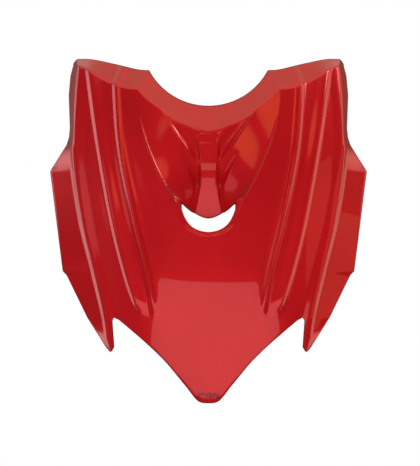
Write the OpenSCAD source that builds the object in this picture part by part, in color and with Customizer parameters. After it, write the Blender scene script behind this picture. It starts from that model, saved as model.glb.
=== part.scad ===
// Scooter front panel: one injection-moulded shell, lofted on guide lines.
// X runs to the right, Z up and the painted face looks along -Y.
// The origin is midway between the two lower screw bosses, on their end faces.

/* [Outline] */
// Height from the lower tip to the top of the shoulders
panel_h = 400.7; // [398:0.1:404]
// Width across the wing corners
wing_w = 369; // [355:1:385]
// Width across the shoulders
shoulder_w = 325.6; // [321:0.2:331]
// Height at which the shoulders are widest
shoulder_h = 358; // [350:1:364]
// Height over which the shoulders are rounded at their tops
shoulder_fall_h = 20; // [17:1:23]
// How far the shoulders draw in at the foot of that rounding
shoulder_fall_x = 1.5; // [1:0.1:2]
// How far the shoulders draw in at the flange crease
shoulder_end_x = 4.5; // [3:0.5:6]
// Width of the waist between the shoulders and the wings
waist_w = 323; // [319:1:327]
// Height of the waist above the lower tip
waist_h = 320; // [314:1:326]
// Width across the feet of the wings
wing_foot_w = 339; // [325:1:350]
// Step in at the feet of the wings
wing_step = 4.5; // [2:0.5:8]
// Height of the tops of the wings above the lower tip
wing_top_h = 300; // [294:1:306]
// How far the tops of the wings stand out from the shoulders
wing_flare = 2.8; // [2:0.2:4]
// Height of the fillet above the tops of the wings
wing_fillet = 9; // [7:0.5:11]
// Height of the wing corners above the lower tip
wing_corner_h = 269.5; // [262:0.5:280]
// Height of the feet of the wings above the lower tip
wing_foot_h = 153; // [146:1:160]
// Height of the side notches above the lower tip
notch_h = 99.5; // [94:0.5:105]
// Distance of the side notches from the middle
notch_x = 110; // [108:0.5:112]
// Height of the fang tips above the lower tip
fang_h = 59.5; // [50:0.5:70]
// Distance of the fang tips from the middle
fang_x = 113; // [112:0.5:114]
// Width of a fang just above its rounded tip
fang_tip_w = 10; // [8:0.5:12]
// How far the outer edge of a fang starts out from its tip
fang_cheek = 3; // [2:0.5:4]
// How far the outer edge of a fang runs out from its tip to the height of the notch
fang_spread = 28; // [25:0.5:31]
// Half width of the rounded lower tip
tip_x = 12.5; // [11:0.5:14]
// Height over which the lower tip is rounded
tip_round_h = 2.8; // [2:0.2:4]
// Half width of the tip where its sides run straight
chin_x = 26; // [24:0.5:28]
// Height of the lower edge at that point
chin_h = 19.2; // [17:0.2:21]
// Sideways place of a point halfway along the lower edge
belly_x = 55; // [50:1:60]
// Height of the lower edge at that point
belly_h = 53.3; // [50:0.1:57]
// How far the rounding of a side notch reaches towards the middle
notch_round_x = 7.5; // [6:0.5:9]
// Height of that rounding
notch_round_h = 4; // [3:0.5:5]

/* [Steering notch and top flange] */
// Radius of the steering notch
steer_r = 78; // [75:1:84]
// Height of the bottom of the steering notch
steer_h = 345.5; // [342:0.5:349]
// Half width of the steering notch at its corners
steer_x = 70; // [68:0.5:73]
// Height of the notch corners
steer_corner_h = 387; // [385:0.5:389]
// Distance of the low, middle and high points of the top edge from the notch corner
brow_x = 12; // [10:1:14]
arch_x = 40; // [36:1:44]
dome_x = 67; // [62:1:72]
// Height of the low point above the notch corner
brow_h = 1; // [0:0.2:2]
// Drop of the middle point below the top of the shoulders
arch_drop = 6; // [4:0.5:8]
// Drop of the high point below the top of the shoulders
dome_drop = 0.4; // [0:0.1:0.8]
// Seen height of the flange in the middle
flange_mid = 31; // [27:0.5:35]
// Seen height of the flange beside the middle
flange_side = 24; // [22:0.5:27]
// Seen height of the flange under the notch corners
flange_corner = 20.5; // [18:0.5:23]
// Seen height of the flange on the shoulders
flange_shoulder = 21; // [19:0.5:23]
// Seen height of the flange at the outer end
flange_end = 8.5; // [7:0.5:10]
// How far the flange turns back
flange_depth = 30; // [22:1:38]

/* [Face] */
// Thickness of the moulded wall
wall = 2.6; // [2:0.1:3.2]
// Height of the foremost point of the face
nose_h = 190; // [180:1:200]
// How far the top leans back from the foremost point
rake = 66; // [50:1:80]
// How far the lower tip is tucked back
tuck = 34; // [28:1:40]
// How far the face curves back at the outer crests
crown = 62; // [50:1:72]
// How far the shoulder sides turn back
shoulder_depth = 32; // [24:1:40]
// How far the wings stand back behind the crests
wing_depth = 44; // [34:1:54]
// How far the fang tips stand back behind the crests
fang_depth = 9; // [5:0.5:13]
// Width of the steep band beside the outer crest
band_w = 5.5; // [4:0.5:7]
// Depth of the steep band beside the outer crest
band_depth = 12; // [8:0.5:16]
// How far a point halfway along the steep band has fallen, as a share
band_roll = 0.27; // [0.2:0.01:0.4]

/* [Crests and flutes] */
// Half width of the outer crest at the shoulders
crest_shoulder = 150.4; // [149:0.2:151.6]
// Half width of the outer crest at the wing tops
crest_wing = 155.6; // [154:0.2:157]
// Half width of the outer crest beside the slot
crest_slot = 145; // [143:0.5:147]
// Half width of the outer crest at the wing feet
crest_foot = 131; // [129:0.5:133]
// Half width of the outer crest at the side notches
crest_notch = 118.5; // [117:0.5:120]
// Height of the outer crest above its flute
crest_height = 2.2; // [1:0.2:4]
// Width over which the face rises to the outer crest
crest_run = 12; // [9:0.5:14]
// Half width of the main ridge at the shoulders
main_shoulder = 142.6; // [141:0.2:144]
// Half width of the main ridge at the wing tops
main_wing = 129.5; // [128:0.5:131]
// Half width of the main ridge beside the slot
main_slot = 114; // [112:0.5:116]
// Half width of the main ridge at the wing feet
main_foot = 99; // [97:0.5:101]
// Half width of the main ridge at the side notches
main_notch = 82; // [80:0.5:84]
// Height of the main ridge at the side notches
main_low_rise = 4.8; // [3:0.2:7]
// Height of the main ridge at the shoulders
main_top_rise = 2.6; // [1.6:0.2:4]
// Width over which the face rises to the main ridge
main_run = 19; // [16:0.5:22]
// Width of the outer flank of the main ridge
main_flank = 8.5; // [7:0.5:10]
// Half width of the inner ridge at the shoulders
inner_shoulder = 112; // [110:0.5:114]
// Half width of the inner ridge at the wing tops
inner_wing = 105.6; // [104:0.5:107]
// Half width of the inner ridge beside the slot
inner_slot = 89; // [87:0.5:91]
// Half width of the inner ridge at the wing feet
inner_foot = 74; // [72:0.5:76]
// Half width of the inner ridge at the side notches
inner_notch = 65.5; // [64:0.5:67]
// Height of the inner ridge at the side notches
inner_low_rise = 4.6; // [3:0.2:7]
// Height of the inner ridge at the shoulders
inner_top_rise = 2.8; // [1.6:0.2:4]
// Width over which the face rises to the inner ridge
inner_run = 17; // [14:0.5:20]
// Width of the outer flank of the inner ridge
inner_flank = 9.5; // [8:0.5:11]
// Height over which the ridges fade into the lower face
ridge_fade = 22; // [16:1:40]
// Distance from the inner ridge to the edge of the flat middle shield
shield_gap = 8.5; // [6:0.5:10]

/* [Scoop and slot] */
// Half width of the scoop at its top
scoop_top_x = 84; // [81:0.5:87]
// Half width of the scoop at the slot
scoop_low_x = 37; // [35:0.5:39]
// Curvature of the edges of the scoop
scoop_bow = 1.8; // [1.4:0.1:2.2]
// Depth of the scoop at the slot
scoop_low_depth = 32; // [24:1:38]
// Depth of the scoop under the flange
scoop_top_depth = 15; // [10:1:20]
// Half width of the slot
slot_x = 33; // [31:0.5:34]
// Height of the slot's upper edge in the middle
slot_top_h = 214.2; // [211:0.2:216]
// Height of the slot's lower edge in the middle
slot_low_h = 198.8; // [196:0.2:202]
// Height of the slot's horns
horn_h = 236; // [234:0.5:238]
// Length of the blunt end of a horn
horn_end = 4.2; // [3:0.1:6]
// Bow of the slot's upper edge
roof_bow = 1.75; // [1.5:0.05:2]
// Height of the rim under the slot
rim_h = 7; // [5:0.5:9]
// Half width of the tongue at the flange
tongue_top_x = 11.5; // [10:0.5:13]
// Half width of the tongue at its narrowest
tongue_neck_x = 8.3; // [7:0.1:9.5]
// Half width of the tongue at the slot
tongue_low_x = 14; // [12:0.5:16]
// Height at which the tongue is narrowest
tongue_neck_h = 270; // [264:1:276]
// Height of the tongue above the floor at its neck
tongue_neck_rise = 8.5; // [5:0.5:11]
// Height of the tongue above the floor at the slot
tongue_low_rise = 5; // [3:0.5:8]
// Width of the flanks of the tongue
tongue_flank = 3.5; // [2.5:0.5:5]
// Height of the gill steps
gill_height = 4; // [2:0.5:6]
// Width of the gill steps
gill_w = 4.5; // [3:0.5:6]
// Distance of the gills' inner ends from the middle
gill_in_x = 15.7; // [15:0.1:17]
// Distance of the upper gill's outer end from the middle
upper_gill_x = 57; // [52:0.5:60]
// Heights of the upper gill's outer and inner ends
upper_gill_h = 344; // [338:1:348]
upper_gill_low_h = 286; // [282:1:290]
// Distance of the lower gill's outer end from the middle
lower_gill_x = 33.6; // [31:0.2:36]
// Heights of the lower gill's outer and inner ends
lower_gill_h = 291; // [287:1:295]
lower_gill_low_h = 254; // [250:1:258]

/* [Screw bosses] */
// Distance between the two upper screws
upper_span = 180; // [176:1:184]
// Height of the upper screws above the lower tip
upper_h = 338; // [334:1:342]
// Depth of the end faces of the upper bosses
upper_depth = 92; // [86:1:98]
// Distance between the two lower screws
lower_span = 84; // [76:1:92]
// Height of the lower screws above the lower tip
lower_h = 90; // [84:1:96]
// Depth of the end faces of the lower bosses
lower_depth = 36; // [30:1:44]
// Outer diameter of a boss
boss_d = 9; // [8:0.5:10]
// Diameter of a pilot hole
pilot_d = 4.2; // [3.5:0.1:4.8]
// Depth of a pilot hole
pilot_depth = 16; // [12:1:20]
// Thickness of a boss rib
rib_t = 2; // [1.5:0.1:2.5]
// Reach of a boss rib from the axis of its boss
rib_reach = 12; // [9:0.5:14]

/* [Hidden] */
paint = "firebrick";
round_steps = 48;
past = 1;
cut_size = 60;

// Spans between neighbouring guide lines, from the middle out, in cells.
span_cells = [2, 1, 7, 2, 3, 2, 4, 2, 2, 2, 3];
notch_span = 8;
crest_span = 9;
// Rows of cells: flange, scoop, slot, rim of the slot, lower face and fang.
flange_rows = 3;
scoop_rows = 18;
slot_rows = 2;
rim_rows = 1;
low_rows = 11;
fang_rows = 5;
// Rows from the flange crease to the marks on the side edge.
side_marks = [10, 14, 27, 28, scoop_rows + slot_rows + rim_rows + low_rows];

crease_row = flange_rows;
slot_row = crease_row + scoop_rows;
lip_row = slot_row + slot_rows;
rim_row = lip_row + rim_rows;
edge_row = rim_row + low_rows;
last_row = edge_row + fang_rows;
corner_h = panel_h - flange_end;

function mix(a, b, t) = a + (b - a) * t;
function clamp(t) = min(1, max(0, t));
function smooth(t) = let (c = clamp(t)) c * c * (3 - 2 * c);
function sum_to(list, n) = n <= 0 ? 0 : list[n - 1] + sum_to(list, n - 1);

// A smooth line through stations [place, value], straight beyond its ends.
function grade(p, i) =
    let (a = max(0, i - 1), b = min(len(p) - 1, i + 1))
    (p[b][1] - p[a][1]) / (p[b][0] - p[a][0]);
function leg(p, s, i = 0) = (i >= len(p) - 2 || s <= p[i + 1][0]) ? i : leg(p, s, i + 1);
function faired(p, s) =
    let (last = len(p) - 1)
    s <= p[0][0] ? p[0][1] + (s - p[0][0]) * grade(p, 0) :
    s >= p[last][0] ? p[last][1] + (s - p[last][0]) * grade(p, last) :
    let (
        i = leg(p, s),
        h = p[i + 1][0] - p[i][0],
        t = (s - p[i][0]) / h,
        u = 1 - t
    )
    p[i][1] * (1 + 2 * t) * u * u + p[i + 1][1] * (3 - 2 * t) * t * t
        + h * t * u * (grade(p, i) * u - grade(p, i + 1) * t);

// Edges of the shell as seen from the front, height over half width.
belly = [
    [-tip_x, tip_round_h], [0, 0], [tip_x, tip_round_h], [chin_x, chin_h], [belly_x, belly_h],
    [notch_x - notch_round_x, notch_h - notch_round_h], [notch_x, notch_h]
];
function lower_edge(x) = faired(belly, x);
shoulder_line = [
    [steer_x, steer_corner_h], [steer_x + brow_x, steer_corner_h + brow_h],
    [steer_x + arch_x, panel_h - arch_drop], [steer_x + dome_x, panel_h - dome_drop],
    [crest_shoulder, panel_h]
];
function upper_edge(x) =
    x < steer_x ? min(steer_corner_h, steer_h + steer_r - sqrt(steer_r * steer_r - x * x))
    : faired(shoulder_line, x);
flange_face = [
    [0, flange_mid], [steer_x * 0.62, flange_side], [steer_x * 0.85, flange_corner - 1],
    [scoop_top_x, flange_corner + 1], [mix(scoop_top_x, crest_shoulder, 0.5), flange_shoulder],
    [crest_shoulder, flange_end]
];
function edge_over(x) =
    x < scoop_top_x ? x * steer_x / scoop_top_x
    : mix(steer_x, crest_shoulder, (x - scoop_top_x) / (crest_shoulder - scoop_top_x));
function crease_h(x) = upper_edge(edge_over(x)) - faired(flange_face, x);

// Guide lines, half width over height.
function levels(notch, foot, slot, wing, top) = [
    [notch_h, notch], [wing_foot_h, foot], [slot_top_h, slot], [wing_top_h, wing], [corner_h, top]
];
inner_line = levels(inner_notch, inner_foot, inner_slot, inner_wing, inner_shoulder);
main_line = levels(main_notch, main_foot, main_slot, main_wing, main_shoulder);
crest_line = concat(
    [[fang_h, fang_x]],
    levels(crest_notch, crest_foot, crest_slot, crest_wing, crest_shoulder)
);
tongue_line = [
    [0, tongue_low_x * 0.6], [slot_low_h, tongue_low_x], [slot_top_h, tongue_low_x],
    [tongue_neck_h, tongue_neck_x], [steer_h - flange_mid, tongue_top_x]
];
function scoop_x(z) =
    z > horn_h - horn_end
        ? mix(scoop_low_x, scoop_top_x, 1 - pow(
            clamp(1 - (z - horn_h + horn_end) / (steer_corner_h - flange_corner - horn_h + horn_end)),
            scoop_bow))
        : mix(scoop_low_x * 0.75, scoop_low_x, pow(z / (horn_h - horn_end), 0.7));
function tongue_x(z) = faired(tongue_line, z);
function foot_x(z) = tongue_x(z) + tongue_flank;
horn_share = (slot_x - foot_x(horn_h)) / (scoop_x(horn_h) - foot_x(horn_h));
function horn_line(z) = mix(foot_x(z), scoop_x(z), horn_share);
function inner_x(z) = faired(inner_line, z);
function shield_x(z) = inner_x(z) - shield_gap;
function main_x(z) = faired(main_line, z);
function crest_x(z) = faired(crest_line, z);
function flute_x(z) =
    let (share = (notch_x - main_notch) / (crest_notch - main_notch))
    mix(main_x(z), crest_x(z), mix(0.5, share, smooth((wing_foot_h - z) / (wing_foot_h - notch_h))));
side_line = [
    [fang_h, fang_x + fang_cheek], [notch_h, fang_x + fang_spread],
    [wing_foot_h - wing_step, wing_foot_w / 2 - wing_step], [wing_foot_h, wing_foot_w / 2],
    [wing_corner_h, wing_w / 2], [wing_top_h, shoulder_w / 2 + wing_flare],
    [wing_top_h + wing_fillet, shoulder_w / 2],
    [waist_h, waist_w / 2], [shoulder_h, shoulder_w / 2],
    [panel_h - shoulder_fall_h, shoulder_w / 2 - shoulder_fall_x],
    [corner_h, shoulder_w / 2 - shoulder_end_x]
];
function side_x(z) = lookup(z, side_line);

function guide(k, z) =
    k == 0 ? 0 :
    k == 1 ? tongue_x(z) :
    k == 2 ? foot_x(z) :
    k == 3 ? horn_line(z) :
    k == 4 ? scoop_x(z) :
    k == 5 ? shield_x(z) :
    k == 6 ? inner_x(z) :
    k == 7 ? main_x(z) :
    k == 8 ? flute_x(z) : crest_x(z);
column_of = [for (k = [0 : len(span_cells)]) sum_to(span_cells, k)];
horn_column = column_of[3];
scoop_column = column_of[4];
notch_column = column_of[notch_span];
crest_column = column_of[crest_span];
band_column = column_of[crest_span + 1];
half_columns = column_of[len(span_cells)];
function span_of(j, k = 0) = (k >= len(span_cells) - 1 || j < column_of[k + 1]) ? k : span_of(j, k + 1);
function column_x(j, z) =
    let (k = min(span_of(j), crest_span - 1), f = (j - column_of[k]) / span_cells[k])
    j >= crest_column ? crest_x(z) : mix(guide(k, z), guide(k + 1, z), f);

// The slot's lower edge: round in the middle and steep at the horns.
function slot_sill(x) =
    let (t = clamp(x / slot_x))
    mix(slot_low_h, horn_h - horn_end, (pow(t, 2) + pow(t, 6)) / 2);

// Heights at which a column crosses the crease, the slot's edges and the lower edge.
function settle(j, z, mode, n = 9) =
    n == 0 ? z :
    settle(j, let (x = column_x(j, z))
        mode == 0 ? crease_h(x) :
        mode == 1 ? mix(slot_top_h, horn_h, pow(clamp(x / slot_x), roof_bow)) :
        mode == 2 ? slot_sill(x) :
        lower_edge(x), mode, n - 1);
function column_top(j) = j >= crest_column ? corner_h : settle(j, steer_h, 0);
function column_slot(j) =
    j <= horn_column ? settle(j, slot_top_h, 1) : horn_h + (column_x(j, horn_h) - slot_x) * 0.25;
function column_lip(j) =
    j <= horn_column ? settle(j, slot_low_h, 2)
    : horn_h - horn_end + (column_x(j, horn_h) - slot_x) * 0.1;
function column_end(j) = j >= notch_column ? notch_h : settle(j, belly_h, 3);

marks = [
    [0, corner_h], [side_marks[0], wing_top_h], [side_marks[1], wing_corner_h],
    [side_marks[2], wing_foot_h], [side_marks[3], wing_foot_h - wing_step], [side_marks[4], notch_h]
];
function side_share(r) = (corner_h - lookup(r, marks)) / (corner_h - notch_h);
function row_height(i, j, top, slot, lip, low) =
    let (
        r = i - crease_row,
        near = i <= slot_row ? mix(top, slot, r / scoop_rows) :
            i <= lip_row ? mix(slot, lip, (i - slot_row) / slot_rows) :
            i <= rim_row ? lip - rim_h * (i - lip_row) / rim_rows :
            mix(lip - rim_h, low, (i - rim_row) / low_rows),
        far = mix(top, low, side_share(r)),
        out = smooth((j - scoop_column) / (crest_column - scoop_column))
    )
    mix(near, far, out);

// Depth of the painted face behind its foremost point.
function lean(z) =
    z > nose_h ? rake * pow((z - nose_h) / (panel_h - nose_h), 2)
    : tuck * pow((nose_h - z) / nose_h, 2);
function crowned(x) = crown * pow(x / crest_wing, 2.2);
// A slow rise from the middle of the panel, then a steeper flank whose own middle is the guide line.
function ridge(u, run, flank) =
    u < -flank / 2 ? smooth((u + run) / (run - flank / 2)) : 1 - smooth((u + flank / 2) / flank);
function ridges(x, z) =
    let (
        up = clamp((z - notch_h) / (corner_h - notch_h)),
        fade = smooth((z - notch_h) / ridge_fade)
    )
    mix(inner_low_rise, inner_top_rise, up) * fade * ridge(x - inner_x(z), inner_run, inner_flank)
    + mix(main_low_rise, main_top_rise, up) * fade * ridge(x - main_x(z), main_run, main_flank)
    + crest_height * clamp((z - fang_h) / (notch_h - fang_h))
        * smooth((x - crest_x(z) + crest_run) / crest_run);
function face_depth(x, z) = lean(z) + crowned(x) - ridges(x, z);

// Gill steps beside the tongue, each along a slanting line, deeper on its upper side.
upper_gill = [[upper_gill_x, upper_gill_h], [gill_in_x, upper_gill_low_h]];
lower_gill = [[lower_gill_x, lower_gill_h], [gill_in_x, lower_gill_low_h]];
function gill(x, z, ends) =
    let (
        run = ends[1] - ends[0],
        size = norm(run),
        along = ((x - ends[0][0]) * run[0] + (z - ends[0][1]) * run[1]) / (size * size),
        across = ((z - ends[0][1]) * run[0] - (x - ends[0][0]) * run[1]) / -size
    )
    gill_height * smooth(along * 1.6) * smooth((1.12 - along) / 0.12)
        * smooth(across / gill_w + 0.5) * smooth((gill_w * 4 - across) / (gill_w * 3));
function tongue_rise(z) =
    z > tongue_neck_h
        ? tongue_neck_rise * (1 - 0.75 * smooth((z - tongue_neck_h - 8) / 9))
            * (1 - smooth((z - steer_h + flange_mid + 14) / 14))
        : mix(tongue_low_rise, tongue_neck_rise, (z - slot_top_h) / (tongue_neck_h - slot_top_h));
function scoop_depth(x, z) =
    let (
        deep = mix(scoop_low_depth, scoop_top_depth,
            (z - slot_top_h) / (steer_h - flange_mid - slot_top_h)),
        wide = scoop_x(z),
        foot = tongue_x(z),
        share = clamp((wide - x) / (wide - foot))
    )
    deep * share
        + gill(x, z, upper_gill) * smooth((x - foot) / 5)
        + gill(x, z, lower_gill) * smooth((x - foot) / 5)
        - tongue_rise(z) * (1 - smooth((x - foot) / tongue_flank));

// Depth of the side behind the outer crest at the steep band and at the edge.
side_drop = [
    [fang_h, fang_depth], [notch_h, 24], [wing_foot_h, wing_depth * 0.85], [wing_corner_h, wing_depth],
    [wing_top_h, shoulder_depth], [corner_h, shoulder_depth]
];
band_drop = [
    [fang_h, fang_depth * 0.4], [notch_h, band_depth * 0.7], [wing_foot_h, band_depth],
    [wing_top_h, band_depth], [corner_h, band_depth]
];

// One point of the painted face: [x, depth, height].
function face_point(i, j, top, slot, lip, low) =
    let (
        z = row_height(max(i, crease_row), j, top, slot, lip, low),
        x = column_x(j, z),
        base = face_depth(x, z) + (i <= slot_row && j < scoop_column ? scoop_depth(x, z) : 0)
    )
    [x, base, z];
function fang_point(i, j) =
    let (
        down = (i - edge_row) / fang_rows,
        across = (j - notch_column) / (half_columns - notch_column),
        inner = notch_x + 2.4 * smooth(down * 8) - 2 * down,
        tip_in = fang_x - fang_tip_w * 0.4,
        tip_out = fang_x + fang_tip_w * 0.6,
        end_h = fang_h + 5 * pow(abs(2 * across - 1), 2),
        z = mix(notch_h, end_h, down),
        x_crest = crest_x(z),
        x_out = max(side_x(z), mix(tip_in, tip_out, across) ),
        x_band = min(x_crest + band_w, mix(x_crest, x_out, 0.5)),
        x = j <= crest_column
            ? mix(inner, x_crest, (j - notch_column) / (crest_column - notch_column)) :
            j <= band_column
            ? mix(x_crest, x_band, (j - crest_column) / (band_column - crest_column))
            : mix(x_band, x_out, (j - band_column) / (half_columns - band_column))
    )
    [x, side_depth(min(x, x_crest), z, j), z];
function roll(t) = t < 0.5 ? 2 * band_roll * t : mix(band_roll, 1, 2 * t - 1);
function side_depth(x, z, j) =
    face_depth(x, z) + (
        j <= crest_column ? 0 :
        j <= band_column
        ? faired(band_drop, z) * roll((j - crest_column) / (band_column - crest_column))
        : mix(faired(band_drop, z), faired(side_drop, z),
            (j - band_column) / (half_columns - band_column)));
function side_point(z, j) =
    let (
        x_crest = crest_x(z),
        x_out = side_x(z),
        x_band = min(x_crest + band_w, mix(x_crest, x_out, 0.5)),
        x = j <= band_column
            ? mix(x_crest, x_band, (j - crest_column) / (band_column - crest_column))
            : mix(x_band, x_out, (j - band_column) / (half_columns - band_column))
    )
    [x, side_depth(x_crest, z, j), z];
function flange_point(i, j, at) =
    let (
        t = 1 - i / flange_rows,
        s = max(0, (j - crest_column) / (half_columns - crest_column)),
        x_out = edge_over(at[0]),
        rim = upper_edge(x_out)
    )
    j <= crest_column
        ? [mix(at[0], x_out, t), at[1] + flange_depth * t, mix(at[2], rim, t)]
        : let (
            crest = [crest_shoulder, face_depth(crest_shoulder, corner_h), corner_h],
            sx = s * sqrt(1 - t * t / 2),
            tz = t * sqrt(1 - s * s / 2),
            reach = at[0] - crest[0]
        )
        [
            crest[0] + reach / max(s, 0.001) * sx,
            crest[1] + pow(pow((at[1] - crest[1]) / flange_depth, 3) + pow(t, 3), 1 / 3) * flange_depth,
            crest[2] + flange_end * tz
        ];

half_face = [
    for (j = [0 : half_columns])
        let (
            top = column_top(j),
            slot = column_slot(j),
            lip = column_lip(j),
            low = column_end(j),
            crease = j <= crest_column ? face_point(crease_row, j, top, slot, lip, low)
                : side_point(corner_h, j)
        )
        [
            for (i = [0 : last_row])
                i < crease_row ? flange_point(i, j, crease) :
                i > edge_row ? (j < notch_column ? [0, 0, 0] : fang_point(i, j)) :
                j <= crest_column ? face_point(i, j, top, slot, lip, low)
                : side_point(row_height(i, j, top, slot, lip, low), j)
        ]
];

// The whole face runs from the left edge to the right edge.
columns = 2 * half_columns;
function face(i, j) =
    let (p = half_face[abs(j - half_columns)][i])
    [(j < half_columns ? -1 : 1) * p[0], p[1], p[2]];
function is_cell(i, j) =
    let (near = min(abs(j - half_columns), abs(j + 1 - half_columns)))
    i >= 0 && i < last_row && j >= 0 && j < columns
    && !(i >= slot_row && i < lip_row && near < horn_column)
    && !(i >= edge_row && near < notch_column);
function facing(i, j) =
    let (
        up = is_cell(i - 1, j - 1) || is_cell(i - 1, j) ? i - 1 : i,
        down = is_cell(i, j - 1) || is_cell(i, j) ? i + 1 : i,
        left = is_cell(i - 1, j - 1) || is_cell(i, j - 1) ? j - 1 : j,
        right = is_cell(i - 1, j) || is_cell(i, j) ? j + 1 : j,
        n = cross(face(i, right) - face(i, left), face(up, j) - face(down, j))
    )
    n / max(norm(n), 0.001);
function placed(p) = [p[0], p[1] - lower_depth, p[2] - lower_h];

module shell() {
    stride = columns + 1;
    count = stride * (last_row + 1);
    front = [for (i = [0 : last_row], j = [0 : columns]) placed(face(i, j))];
    back = [for (i = [0 : last_row], j = [0 : columns]) placed(face(i, j) - wall * facing(i, j))];
    faces = [
        for (i = [0 : last_row - 1], j = [0 : columns - 1])
            if (is_cell(i, j))
                let (
                    a = i * stride + j,
                    b = a + 1,
                    c = a + stride,
                    d = c + 1,
                    lean_left = j < half_columns
                )
                each concat(
                    lean_left ? [[a, b, d], [a, d, c]] : [[a, b, c], [b, d, c]],
                    lean_left ? [[count + a, count + d, count + b], [count + a, count + c, count + d]]
                        : [[count + a, count + c, count + b], [count + b, count + c, count + d]],
                    is_cell(i - 1, j) ? [] : [[a, count + a, count + b], [a, count + b, b]],
                    is_cell(i + 1, j) ? [] : [[c, d, count + d], [c, count + d, count + c]],
                    is_cell(i, j - 1) ? [] : [[a, c, count + c], [a, count + c, count + a]],
                    is_cell(i, j + 1) ? [] : [[b, count + b, count + d], [b, count + d, d]]
                )
    ];
    polyhedron(points = concat(front, back), faces = faces, convexity = 12);
}

// A round post with two crossed ribs on the back of the face, cut to the slope of
// the wall that it stands on. The pilot hole opens in its end face.
module boss(x, z, depth) {
    step = 3;
    here = face_depth(x, z);
    slope = [face_depth(x + step, z) - here, face_depth(x, z + step) - here] / step;
    outward = [slope[0], -1, slope[1]] / norm([slope[0], 1, slope[1]]);
    root = [x, here, z] - outward * wall * 0.6;
    tall = depth - here;
    difference() {
        translate(placed([x, depth, z]))
            rotate([90, 0, 0])
                union() {
                    cylinder(d = boss_d, h = tall + boss_d, $fn = round_steps);
                    for (turn = [0, 90])
                        rotate([0, 0, turn])
                            rib(tall);
                }
        translate(placed([x, depth + past, z]))
            rotate([90, 0, 0])
                cylinder(d = pilot_d, h = pilot_depth + past, $fn = round_steps);
        translate(placed(root))
            rotate([0, 0, atan2(outward[1], outward[0])])
                rotate([0, 90 - asin(outward[2]), 0])
                    translate([-cut_size / 2, -cut_size / 2, 0])
                        cube(cut_size);
    }
}
module rib(tall) {
    rotate([90, 0, 0])
        linear_extrude(rib_t, center = true)
            polygon([
                [-boss_d / 4, tall * 0.3], [boss_d / 4, tall * 0.3],
                [rib_reach, tall + boss_d], [-rib_reach, tall + boss_d]
            ]);
}

module front_panel() {
    color(paint) {
        shell();
        for (side = [-1, 1]) {
            scale([side, 1, 1]) boss(upper_span / 2, upper_h, upper_depth);
            scale([side, 1, 1]) boss(lower_span / 2, lower_h, lower_depth);
        }
    }
}

front_panel();
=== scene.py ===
"""Scooter front panel: the painted shell, its moulded screw bosses and a plain studio, as an add-on."""

import math

import bmesh
import bpy
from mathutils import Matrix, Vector
from mathutils.kdtree import KDTree


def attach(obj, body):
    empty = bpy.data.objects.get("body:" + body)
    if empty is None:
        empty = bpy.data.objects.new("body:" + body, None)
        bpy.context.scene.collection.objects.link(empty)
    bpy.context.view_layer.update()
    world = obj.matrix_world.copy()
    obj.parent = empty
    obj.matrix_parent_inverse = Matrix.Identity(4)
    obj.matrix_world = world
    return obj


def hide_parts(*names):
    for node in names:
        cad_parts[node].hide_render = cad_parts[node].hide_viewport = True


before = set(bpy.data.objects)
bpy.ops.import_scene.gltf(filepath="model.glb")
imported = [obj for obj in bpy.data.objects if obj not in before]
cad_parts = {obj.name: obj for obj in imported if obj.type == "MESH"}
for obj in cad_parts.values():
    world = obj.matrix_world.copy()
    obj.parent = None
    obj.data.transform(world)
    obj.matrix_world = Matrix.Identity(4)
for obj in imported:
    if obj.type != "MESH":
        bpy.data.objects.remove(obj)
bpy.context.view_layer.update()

bl_info = {
    "name": "Scooter Front Panel",
    "version": (1, 0, 0),
    "blender": (4, 5, 0),
    "location": "View3D > Sidebar > Front Panel",
    "description": "Builds a moulded and painted scooter front panel in a plain studio",
    "category": "Add Mesh",
}

MM = 0.001
NODE = "front_panel"
PAINT_NAME = "gloss_red_paint"
SHELL_NAME = "painted_shell"

# Outline of the shell in millimetres above the lower tip and out from the middle.
PANEL_H = 400.7
WING_W = 369.0
SHOULDER_W = 325.0
WING_FOOT_W = 339.0
WING_STEP = 4.5
WING_FLARE = 2.8
WING_FILLET = 9.0
WAIST_RISE = 20.0
WAIST_IN = 1.0
SHOULDER_SHARE = 0.58
SHOULDER_SWELL = 0.4
SHOULDER_FALL_H = 20.0
SHOULDER_FALL_X = 1.5
SHOULDER_END_X = 4.5
WING_TOP_H = 300.0
WING_CORNER_H = 269.5
WING_FOOT_H = 153.0
NOTCH_H = 99.5
NOTCH_X = 110.0
NOTCH_ROUND_X = 7.5
NOTCH_ROUND_H = 4.0
FANG_H = 59.5
FANG_X = 113.0
FANG_CHEEK = 3.0
FANG_SPREAD = 28.0
FANG_TIP_W = 10.0
FANG_TIP_IN = 0.4
FANG_TIP_RISE = 5.0
FANG_STEP = 2.4
FANG_STEP_GROW = 8.0
FANG_TAPER = 2.0
TIP_X = 12.5
TIP_ROUND_H = 2.8
BELLY_X = 55.0
BELLY_H = 53.3
BELLY_LOW_X = 26.0
BELLY_LOW_H = 19.2
STEER_R = 78.0
STEER_H = 345.5
STEER_X = 70.0
STEER_CORNER_H = 387.0
BROW_X = 12.0
BROW_H = 1.0
ARCH_X = 40.0
ARCH_DROP = 6.0
DOME_X = 67.0
DOME_DROP = 0.4
FLANGE_MID = 31.0
FLANGE_SIDE = 24.0
FLANGE_CORNER = 20.5
FLANGE_TURN = 1.0
FLANGE_SIDE_AT = 0.62
FLANGE_TURN_AT = 0.85
FLANGE_SHOULDER = 21.0
FLANGE_END = 8.5
FLANGE_DEPTH = 30.0

# The face: how it leans, curves back and turns in at its sides.
NOSE_H = 190.0
RAKE = 66.0
TUCK = 34.0
CROWN = 62.0
CROWN_POWER = 2.2
SHOULDER_DEPTH = 32.0
WING_DEPTH = 44.0
WING_FOOT_SHARE = 0.85
NOTCH_DEPTH = 24.0
FANG_DEPTH = 9.0
BAND_W = 5.5
BAND_DEPTH = 12.0
BAND_FANG_SHARE = 0.4
BAND_NOTCH_SHARE = 0.7
ROLL = 0.54

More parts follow.
